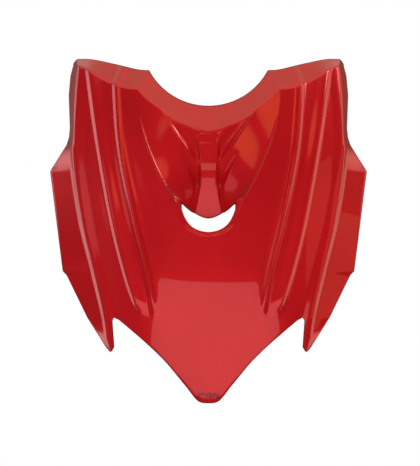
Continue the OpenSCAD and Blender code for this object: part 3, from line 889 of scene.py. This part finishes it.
def boss_tree():
    """Stands a boss on each point and runs its ribs and post forward until they meet the wall."""
    graph, entry, out = new_tree(
        "screw_bosses",
        (("Boss", "NodeSocketObject"), ("Wall Piece", "NodeSocketObject"), ("Bite", "NodeSocketFloat"),
         ("Material", "NodeSocketMaterial")),
    )
    boss = graph.add("GeometryNodeObjectInfo", Object=entry["Boss"])
    wall = graph.add("GeometryNodeObjectInfo", Object=entry["Wall Piece"])
    placed_bosses = graph.add("GeometryNodeInstanceOnPoints", Points=entry["Geometry"])
    graph.link(boss.outputs["Geometry"], placed_bosses, "Instance")
    real = graph.add("GeometryNodeRealizeInstances", Geometry=placed_bosses.outputs[0])
    share = graph.add("GeometryNodeInputNamedAttribute", {"data_type": "FLOAT"}, Name="share")
    here = graph.add("GeometryNodeInputPosition")
    hit = graph.add("GeometryNodeRaycast")
    graph.link(wall.outputs["Geometry"], hit, "Target Geometry")
    graph.link(here.outputs[0], hit, "Source Position")
    hit.inputs["Ray Direction"].default_value = (0.0, -1.0, 0.0)
    hit.inputs["Ray Length"].default_value = WALL_RANGE
    reach = Value(graph, hit.outputs["Hit Distance"]) + entry["Bite"]
    run = graph.add("ShaderNodeCombineXYZ")
    graph.feed(run.inputs[1], reach * share.outputs[0] * -1.0)
    stood = graph.add("GeometryNodeSetPosition", Geometry=real.outputs[0])
    graph.link(run.outputs[0], stood, "Offset")
    soft = graph.add("GeometryNodeSetShadeSmooth", Geometry=stood.outputs[0])
    finish_tree(graph, entry, out, soft.outputs[0])
    return graph.tree


def in_scene(mesh, name):
    piece = bpy.data.objects.new(name, mesh)
    bpy.context.scene.collection.objects.link(piece)
    return piece


def plain_copy(piece, name):
    """Turns a piece with its live modifiers into a plain mesh piece, and removes the first one."""
    bpy.context.view_layer.update()
    graph = bpy.context.evaluated_depsgraph_get()
    mesh = bpy.data.meshes.new_from_object(piece.evaluated_get(graph))
    bpy.data.objects.remove(piece)
    mesh.name = name
    return in_scene(mesh, name)


def face_mesh():
    """The painted face as a grid of quads, with the slot and the fang notches left open."""
    half = half_face()
    rows = stops(ROW_CELLS, ROW_DRAWN, ROW_PULL)
    columns = stops(SPAN_CELLS, SPAN_DRAWN, SPAN_PULL)
    middle = len(columns) - 1
    width = 2 * middle

    def is_cell(i, j):
        if not (0 <= i < len(rows) - 1 and 0 <= j < width):
            return False
        near = columns[min(abs(j - middle), abs(j + 1 - middle))]
        if SLOT_ROW - LINE_WIDTH < rows[i] < LIP_ROW - LINE_WIDTH and near < HORN_COLUMN - LINE_WIDTH:
            return False
        return not (rows[i] > EDGE_ROW - LINE_WIDTH and near < NOTCH_COLUMN - LINE_WIDTH)

    def point(i, j):
        x, depth, z = half[abs(j - middle)][i]
        return placed(-x if j < middle else x, depth, z)

    def facing(i, j):
        up = i - 1 if is_cell(i - 1, j - 1) or is_cell(i - 1, j) else i
        down = i + 1 if is_cell(i, j - 1) or is_cell(i, j) else i
        left = j - 1 if is_cell(i - 1, j - 1) or is_cell(i, j - 1) else j
        right = j + 1 if is_cell(i - 1, j) or is_cell(i, j) else j
        return (point(i, right) - point(i, left)).cross(point(up, j) - point(down, j)).normalized()

    index = {}
    corners = []
    inward = []
    faces = []
    for i in range(len(rows) - 1):
        for j in range(width):
            if not is_cell(i, j):
                continue
            ring = ((i, j), (i + 1, j), (i + 1, j + 1), (i, j + 1))
            for key in ring:
                if key not in index:
                    index[key] = len(corners)
                    corners.append(point(*key))
                    inward.append(-facing(*key))
            faces.append([index[key] for key in ring])
    mesh = bpy.data.meshes.new("painted_face")
    mesh.from_pydata(corners, [], faces)
    layer = mesh.attributes.new("inward", "FLOAT_VECTOR", "POINT")
    for n, direction in enumerate(inward):
        layer.data[n].vector = direction
    return mesh


def round_rims(piece, width):
    """Rounds the edges where the face and the back meet the rim."""
    mesh = piece.data
    work = bmesh.new()
    work.from_mesh(mesh)
    rim = work.faces.layers.float["rim"]
    weight = work.edges.layers.float.new("bevel_weight_edge")
    for edge in work.edges:
        if len(edge.link_faces) == 2 and len({face[rim] > 0.5 for face in edge.link_faces}) == 2:
            edge[weight] = 1.0
    work.to_mesh(mesh)
    work.free()
    bevel = piece.modifiers.new("rim", "BEVEL")
    bevel.limit_method = "WEIGHT"
    bevel.width = width
    bevel.segments = 2
    return plain_copy(piece, piece.name)


def mark_paint(piece):
    """Stores how much paint each point carries, all on the face and fading spray behind the rim, and where
    the painted edge shade lies: a dark line that stands in for the rim's shading."""
    mesh = piece.data
    back = mesh.attributes["back"].data
    hidden = [0] * len(mesh.vertices)
    seen = [0] * len(mesh.vertices)
    for face in mesh.polygons:
        side = hidden if back[face.index].value > 0.5 else seen
        for v in face.vertices:
            side[v] = 1
    border = [n for n in range(len(seen)) if seen[n] and hidden[n]]
    tree = KDTree(len(border))
    for n in border:
        tree.insert(mesh.vertices[n].co, n)
    tree.balance()
    inward = [item.vector.normalized() for item in mesh.attributes["inward"].data]
    # Painted shade: near the rim, where faces turn away from the wall's direction, points carry a dark edge
    # line that stands in for the rim's shading.
    edge = mesh.attributes.new("edge", "FLOAT", "POINT")
    for face in mesh.polygons:
        for v in face.vertices:
            turned = abs(face.normal.dot(inward[v])) < EDGE_SHADE_TURN
            if turned and tree.find(mesh.vertices[v].co)[2] < EDGE_SHADE_REACH:
                edge.data[v].value = 1.0
    layer = mesh.attributes.new("paint", "FLOAT", "POINT")
    for n, vertex in enumerate(mesh.vertices):
        if seen[n]:
            layer.data[n].value = 1.0
        else:
            layer.data[n].value = clamp(1 - tree.find(vertex.co)[2] / SPRAY_REACH)


def boss_mesh():
    """One boss with crossed ribs about its own axis, its end face at the origin. Share is how far a point
    runs towards the wall, from nought to one."""
    work = bmesh.new()
    share = work.verts.layers.float.new("share")

    def ring(radius, y, part):
        points = []
        for n in range(BOSS_STEPS):
            turn = 2 * math.pi * n / BOSS_STEPS
            vert = work.verts.new((radius * math.cos(turn) * MM, y * MM, radius * math.sin(turn) * MM))
            vert[share] = part
            points.append(vert)
        return points

    outer = BOSS_D / 2
    pilot = PILOT_D / 2
    wider, deeper = PILOT_CHAMFER
    rings = [
        ring(pilot * PILOT_POINT, -PILOT_DEPTH, 0.0), ring(pilot, -PILOT_DEPTH, 0.0),
        ring(pilot, -deeper, 0.0), ring(pilot + wider, 0.0, 0.0),
        ring(outer - BOSS_CHAMFER, 0.0, 0.0), ring(outer, -BOSS_CHAMFER, 0.0),
        ring(outer, 0.0, 0.5), ring(outer + BOSS_FLARE, 0.0, 1.0),
    ]
    for a, b in zip(rings, rings[1:]):
        for n in range(BOSS_STEPS):
            m = (n + 1) % BOSS_STEPS
            work.faces.new((a[n], a[m], b[m], b[n]))
    work.faces.new(reversed(rings[0]))
    for turn in (0.0, math.pi / 2):
        for side in (-1, 1):
            plate = []
            for along, part in RIB_PROFILE:
                for t in (-RIB_T / 2, RIB_T / 2):
                    for level in (part, 1.0):
                        u = side * along
                        x = u * math.cos(turn) - t * math.sin(turn)
                        z = u * math.sin(turn) + t * math.cos(turn)
                        vert = work.verts.new((x * MM, 0.0, z * MM))
                        vert[share] = level
                        plate.append(vert)
            for n in (0, 4):
                work.faces.new((plate[n], plate[n + 4], plate[n + 5], plate[n + 1]))
                work.faces.new((plate[n + 2], plate[n + 3], plate[n + 7], plate[n + 6]))
                work.faces.new((plate[n], plate[n + 2], plate[n + 6], plate[n + 4]))
            work.faces.new((plate[8], plate[10], plate[11], plate[9]))
    bmesh.ops.recalc_face_normals(work, faces=work.faces)
    mesh = bpy.data.meshes.new("boss")
    work.to_mesh(mesh)
    work.free()
    return mesh


def node_material(name):
    """A new material with an empty node tree."""
    material = bpy.data.materials.new(name)
    material.use_nodes = True
    material.node_tree.nodes.clear()
    return material, Graph(material.node_tree)


def paint_material(colours):
    """Gloss red paint over the face, thin spray at the back's border, and bare moulded plastic behind."""
    material, graph = node_material(PAINT_NAME)
    place = graph.add("ShaderNodeTexCoord").outputs["Object"]
    aside, _, height = graph.parts(place)
    paint = graph.attribute("paint")
    # The edge attribute, held here as rim, carries painted shade: a dark line along the rim's edges.
    rim = graph.attribute("edge").between(*EDGE_SHADE_AT)

    def noise(scale, detail=2.0):
        node = graph.add("ShaderNodeTexNoise", Scale=scale, Detail=detail)
        graph.link(place, node, "Vector")
        return Value(graph, node.outputs["Fac"])

    cover = (paint + (noise(SPRAY_GRAIN, 3.0) - 0.5) * 0.5 * (1.0 - paint)).between(*SPRAY_AT)
    tint = graph.blend(noise(TONE_DRIFT).between(*TONE_AT), colours.paint, colours.paint_deep)
    grain = graph.blend(noise(PLASTIC_GRAIN).between(*PLASTIC_AT), colours.plastic, colours.plastic_light)
    # Painted shade darkens the paint along the rim's edges; the same dark colour marks the rubbed wear at the
    # tip.
    edge_shaded = graph.blend(rim * EDGE_SHADE_COVER, tint, colours.edge)
    near_tip = 1.0 - (height - SMUDGE_Z * MM).op("ABSOLUTE") * (1.0 / (SMUDGE_H * MM))
    near_middle = 1.0 - aside.op("ABSOLUTE") * (1.0 / (SMUDGE_W * MM))
    rub = near_tip.between(0.0, 0.5) * near_middle.between(0.0, 0.25) * noise(RUB_GRAIN).between(*RUB_AT)
    rubbed = graph.blend(rub * RUB_COVER, edge_shaded, colours.edge)
    wet = cover * (1.0 - rim)
    peel = noise(PEEL[0], 1.0) * PEEL[1] * cover + noise(MOULD_GRAIN[0]) * MOULD_GRAIN[1] * (1.0 - cover)
    bump = graph.add("ShaderNodeBump", Strength=BUMP, Distance=1.0)
    graph.link(peel, bump, "Height")
    rough = PAINT_ROUGH * wet + PLASTIC_ROUGH * (1.0 - wet) + (noise(GLOSS_DRIFT) - 0.5) * ROUGH_DRIFT
    shader = graph.add("ShaderNodeBsdfPrincipled")
    graph.link(graph.blend(cover, grain, rubbed), shader, "Base_Color")
    graph.link(rough, shader, "Roughness")
    graph.link(wet * PAINT_METAL, shader, "Metallic")
    graph.link(wet, shader, "Coat_Weight")
    graph.link(bump.outputs[0], shader, "Normal")
    shader.inputs["Coat Roughness"].default_value = COAT_ROUGH
    shader.inputs["Coat IOR"].default_value = COAT_IOR
    shader.inputs["Specular IOR Level"].default_value = SPECULAR
    graph.add("ShaderNodeOutputMaterial", Surface=shader.outputs[0])
    return material


def floor_material(colours):
    """Pale to the camera, to gloss and through glass, and plainly lit with the object's shadow elsewhere."""
    material, graph = node_material("studio_floor")
    base = graph.add("ShaderNodeBsdfDiffuse", Color=colours.floor)
    glow = graph.add("ShaderNodeEmission", Color=WHITE + (1.0,), Strength=FLOOR_GLOW)
    both = graph.add("ShaderNodeAddShader")
    graph.feed(both.inputs[0], base.outputs[0])
    graph.feed(both.inputs[1], glow.outputs[0])
    seen = graph.rays("Camera", "Glossy", "Transmission")
    graph.add("ShaderNodeOutputMaterial", Surface=graph.choose(seen, base.outputs[0], both.outputs[0]))
    return material


def studio_world(lights):
    """White to the camera, an even soft light for matt surfaces, and for gloss a pale ceiling and sides,
    a dim room round the camera and a few small lights."""
    world = bpy.data.worlds.new("studio")
    world.use_nodes = True
    world.node_tree.nodes.clear()
    graph = Graph(world.node_tree)
    across, back, up = graph.parts(graph.add("ShaderNodeTexCoord").outputs["Generated"])

    def spot(light):
        (x, y, z), at = light
        return (across * x + back * y + up * z).between(*at)

    ceiling = (up + back * CEILING_LEAN).between(*CEILING_AT)
    ceiling = ceiling * (1.0 - CEILING_DIM * back.between(*CEILING_DIM_AT)) * lights.ceiling
    sides = back.between(*SIDES_AT) * (1.0 - SIDES_DIM * back.between(*SIDES_DIM_AT)) * lights.sides
    sides = sides * (1.0 - up.between(*SIDES_TOP))
    wall = (across * -1.0).between(*WALL_AT) * (1.0 - back.between(*WALL_END)) * lights.left_wall
    amber = spot(LOW_AMBER) * (1.0 - up.between(*LOW_AMBER_TOP)) * across.between(*LOW_AMBER_LEFT)
    amber = amber.op("MAXIMUM", spot(HIGH_AMBER))
    backdrop = back.between(*BACKDROP_AT)
    small = (spot(FLUTE_LIGHT) * lights.flutes, spot(GILL_LIGHT) * lights.gills)
    bright = ceiling
    for light in (sides, wall) + small + (lights.room, amber * lights.amber, backdrop):
        bright = bright.op("MAXIMUM", light)
    tint = graph.blend(across.between(*RIGHT_TINT_AT), PALE + (1.0,), SALMON + (1.0,))
    tint = graph.blend(up.between(*UP_TINT_AT), tint, CREAM + (1.0,))
    tint = graph.blend(amber, tint, AMBER + (1.0,))
    tint = graph.blend(backdrop, tint, WHITE + (1.0,))
    room = graph.add("ShaderNodeBackground", Color=tint, Strength=bright)
    white = graph.add("ShaderNodeBackground", Color=WHITE + (1.0,), Strength=1.0)
    soft = graph.add("ShaderNodeBackground", Color=WHITE + (1.0,), Strength=lights.soft)
    unseen = graph.choose(graph.rays("Diffuse"), room.outputs[0], soft.outputs[0])
    shown = graph.choose(graph.rays("Camera", "Transmission"), unseen, white.outputs[0])
    graph.add("ShaderNodeOutputWorld", Surface=shown)
    bpy.context.scene.world = world


def soft_box(name, box, glow, tint=WHITE, glossy=True):
    """A rectangular lamp of a stated brightness, facing a point."""
    place, target, size = box
    data = bpy.data.lights.new(name, "AREA")
    data.shape = "RECTANGLE"
    data.size, data.size_y = size
    data.energy = glow * math.pi * size[0] * size[1]
    data.color = tint
    lamp = bpy.data.objects.new(name, data)
    lamp.location = place
    lamp.rotation_euler = (Vector(target) - Vector(place)).to_track_quat("-Z", "Y").to_euler()
    lamp.visible_camera = False
    lamp.visible_glossy = glossy
    bpy.context.scene.collection.objects.link(lamp)


def length(name, description, default, low, high):
    """A property that holds a length, given in millimetres."""
    return bpy.props.FloatProperty(
        name=name, description=description, default=default * MM, min=low * MM, max=high * MM,
        unit="LENGTH", subtype="DISTANCE", precision=4,
    )


def colour(name, description, *default):
    """A property that holds an opaque colour."""
    return bpy.props.FloatVectorProperty(
        name=name, description=description, default=default + (1.0,), size=4, subtype="COLOR",
        min=0.0, max=1.0,
    )


def brightness(name, description, default, top=4.0):
    """A property that holds the brightness of a light."""
    return bpy.props.FloatProperty(
        name=name, description="Brightness of the " + description, default=default, min=0.0, max=top,
    )


class PanelSizes(bpy.types.PropertyGroup):
    wall: length("Wall", "Thickness of the moulded wall", 2.6, 2.0, 3.2)
    rim: length("Rim rounding", "Rounding of the edges of the rim", 1.2, 0.2, 1.25)
    bite: length("Boss root", "How far the roots of the bosses reach into the wall", 1.2, 0.5, 1.8)


class PanelColours(bpy.types.PropertyGroup):
    paint: colour("Paint", "Colour of the paint", 0.50, 0.0065, 0.0105)
    paint_deep: colour("Deep paint", "Colour of the paint where it lies thicker", 0.46, 0.0055, 0.009)
    # The edge colour is painted shade along the rim's edges, and also the colour of the rubbed wear at the
    # tip.
    edge: colour("Edge", "Colour of the painted shade on the edges of the rim", 0.09, 0.004, 0.004)
    plastic: colour("Bare plastic", "Colour of the unpainted back", 0.035, 0.034, 0.034)
    plastic_light: colour("Plastic grain", "Lighter grain of the unpainted back", 0.055, 0.053, 0.052)
    floor: colour("Floor", "Colour of the studio floor", 0.8, 0.8, 0.8)


class StudioLights(bpy.types.PropertyGroup):
    ceiling: brightness("Ceiling", "pale ceiling", 1.2)
    sides: brightness("Sides", "lit sides behind the panel", 1.7)
    left_wall: brightness("Left wall", "wall on the left", 0.15)
    soft: brightness("Soft light", "light from all round", 0.5)
    room: brightness("Room", "dim room round the camera", 0.05)
    fill: brightness("Fill", "front fill lamp", 2.7, 20.0)
    low_card: brightness("Low card", "card below the camera", 1.45, 20.0)
    right_card: brightness("Right card", "warm card on the right", 0.65, 20.0)
    high_card: brightness("High card", "small card high on the right", 4.0, 20.0)
    flutes: brightness("Left flutes", "soft light that the left flutes reflect", 0.8, 20.0)
    gills: brightness("Left gills", "light on the right that the left gill ribs reflect", 2.6, 20.0)
    amber: brightness("Amber", "two warm lights high in front", 1.5, 20.0)


def shade(piece, smooth_faces, fewest):
    """Shades the faces of a finished piece, and raises an error if they are too few."""
    if len(piece.data.polygons) < fewest:
        raise RuntimeError(piece.name + " has too few faces")
    for polygon in piece.data.polygons:
        polygon.use_smooth = smooth_faces


class FRONTPANEL_OT_shell(bpy.types.Operator):
    """Build the painted shell with its wall and rounded rims"""

    bl_idname = "front_panel.shell"
    bl_label = "Painted shell"

    def execute(self, context):
        sizes = context.scene.front_panel_sizes
        face = in_scene(face_mesh(), "face")
        skin = face.modifiers.new("skin", "NODES")
        skin.node_group = skin_tree()
        paint = paint_material(context.scene.front_panel_colours)
        face.data.materials.append(paint)
        numbered(skin, "Wall", sizes.wall)
        numbered(skin, "Material", paint)
        shell = plain_copy(face, SHELL_NAME)
        shell = round_rims(shell, sizes.rim)
        mark_paint(shell)
        shade(shell, True, SHELL_FACES)
        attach(shell, "root")
        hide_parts(NODE)
        return {"FINISHED"}


class FRONTPANEL_OT_bosses(bpy.types.Operator):
    """Stand the moulded screw bosses on the back of the shell"""

    bl_idname = "front_panel.bosses"
    bl_label = "Screw bosses"

    def execute(self, context):
        paint = bpy.data.materials[PAINT_NAME]
        template = in_scene(boss_mesh(), "boss")
        template.data.materials.append(paint)
        spots = bpy.data.meshes.new("boss_spots")
        screws = (UPPER_SCREW, LOWER_SCREW)
        places = [placed(side * x, depth, z) for x, z, depth in screws for side in (-1, 1)]
        spots.from_pydata(places, [], [])
        piece = in_scene(spots, "boss_spots")
        stand = piece.modifiers.new("bosses", "NODES")
        stand.node_group = boss_tree()
        numbered(stand, "Boss", template)
        numbered(stand, "Wall Piece", bpy.data.objects[SHELL_NAME])
        numbered(stand, "Bite", context.scene.front_panel_sizes.bite)
        numbered(stand, "Material", paint)
        bosses = plain_copy(piece, "screw_bosses")
        bpy.data.objects.remove(template)
        shade(bosses, False, BOSS_FACES)
        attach(bosses, "root")
        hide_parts(NODE)
        return {"FINISHED"}


class FRONTPANEL_OT_stage(bpy.types.Operator):
    """Set the camera, the floor, the lamps and the world"""

    bl_idname = "front_panel.stage"
    bl_label = "Studio"

    def execute(self, context):
        scene = context.scene
        lights = scene.front_panel_lights
        colours = scene.front_panel_colours
        scene.view_settings.view_transform = "Standard"
        tip = -LOWER_SCREW[1] * MM
        aim = Vector(((PHOTO_W / 2 - MIDDLE_PX) * PIXEL, 0.0, tip + (TIP_PX - PHOTO_H / 2) * PIXEL))
        data = bpy.data.cameras.new("photo_view")
        data.sensor_width = SENSOR
        data.lens = SENSOR * CAMERA_FAR / (PHOTO_H * PIXEL)
        data.clip_end = CAMERA_END
        camera = bpy.data.objects.new("photo_view", data)
        camera.location = aim + Vector((0.0, -CAMERA_FAR, 0.0))
        camera.rotation_euler = (math.pi / 2, 0.0, 0.0)
        scene.collection.objects.link(camera)
        scene.camera = camera

        level = tip - FLOOR_GAP
        sheet = bpy.data.meshes.new("floor")
        left, right, front, back = FLOOR_SIDES
        corners = [(x, y, level) for x, y in ((left, front), (right, front), (right, back), (left, back))]
        sheet.from_pydata(corners, [], [(0, 1, 2, 3)])
        floor = in_scene(sheet, "floor")
        floor.data.materials.append(floor_material(colours))

        studio_world(lights)
        soft_box("fill", FILL_LAMP, lights.fill, glossy=False)
        soft_box("low_card", LOW_CARD, lights.low_card, ROSE)
        soft_box("right_card", RIGHT_CARD, lights.right_card, WARM)
        soft_box("high_card", HIGH_CARD, lights.high_card)
        return {"FINISHED"}


class FRONTPANEL_PT_sidebar(bpy.types.Panel):
    bl_label = "Front Panel"
    bl_idname = "FRONTPANEL_PT_sidebar"
    bl_space_type = "VIEW_3D"
    bl_region_type = "UI"
    bl_category = "Front Panel"

    def draw(self, context):
        layout = self.layout
        for group in (context.scene.front_panel_sizes, context.scene.front_panel_colours,
                      context.scene.front_panel_lights):
            for name in group.__annotations__:
                layout.prop(group, name)
        for operator in STEPS:
            layout.operator(operator.bl_idname)


STEPS = (FRONTPANEL_OT_shell, FRONTPANEL_OT_bosses, FRONTPANEL_OT_stage)
CLASSES = (PanelSizes, PanelColours, StudioLights) + STEPS + (FRONTPANEL_PT_sidebar,)


def register():
    for cls in CLASSES:
        bpy.utils.register_class(cls)
    scene = bpy.types.Scene
    scene.front_panel_sizes = bpy.props.PointerProperty(type=PanelSizes)
    scene.front_panel_colours = bpy.props.PointerProperty(type=PanelColours)
    scene.front_panel_lights = bpy.props.PointerProperty(type=StudioLights)


def unregister():
    scene = bpy.types.Scene
    del scene.front_panel_sizes
    del scene.front_panel_colours
    del scene.front_panel_lights
    for cls in reversed(CLASSES):
        bpy.utils.unregister_class(cls)


def main():
    register()
    bpy.ops.front_panel.shell()
    bpy.ops.front_panel.bosses()
    bpy.ops.front_panel.stage()
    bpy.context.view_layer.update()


if __name__ == "__main__":
    main()
